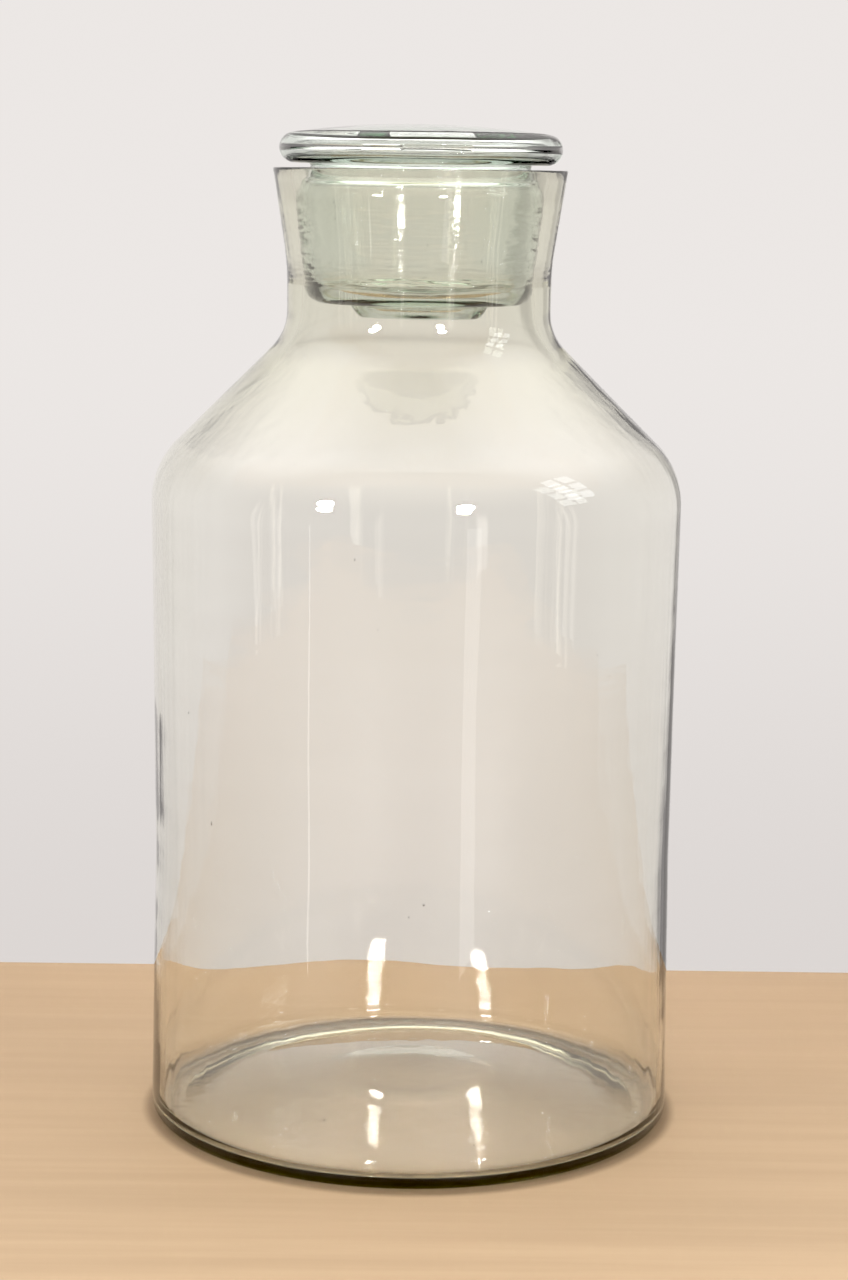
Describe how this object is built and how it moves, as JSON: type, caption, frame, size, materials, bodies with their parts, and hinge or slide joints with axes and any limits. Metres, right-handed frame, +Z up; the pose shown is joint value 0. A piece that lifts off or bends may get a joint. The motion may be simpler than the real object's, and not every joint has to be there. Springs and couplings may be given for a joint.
{
  "type": "specimen jar",
  "caption": "Tall cylindrical blown-glass jar with a pushed-up base, round shoulder, flared neck and a hollow ground-glass stopper that lifts out.",
  "frame": {"origin": "centre of the base, on the surface that the jar stands on", "axes": "+Z up along the jar's axis of revolution; X and Y are any two horizontal directions, because the jar has no front"},
  "size_m": [0.2518, 0.2518, 0.4742],
  "materials": {
    "jar_glass": "clear blown glass with a faint straw-olive tint, ground rim and seat",
    "stopper_glass": "clear blown glass with a pale sea-green tint, ground plug"
  },
  "bodies": {
    "jar": {"jar": "jar_glass"},
    "stopper": {"stopper": "stopper_glass"}
  },
  "joints": [
    {"name": "stopper_lift", "type": "slide", "parent": "jar", "child": "stopper", "axis": [0, 0, 1], "range_m": [0, 0.08]}
  ]
}
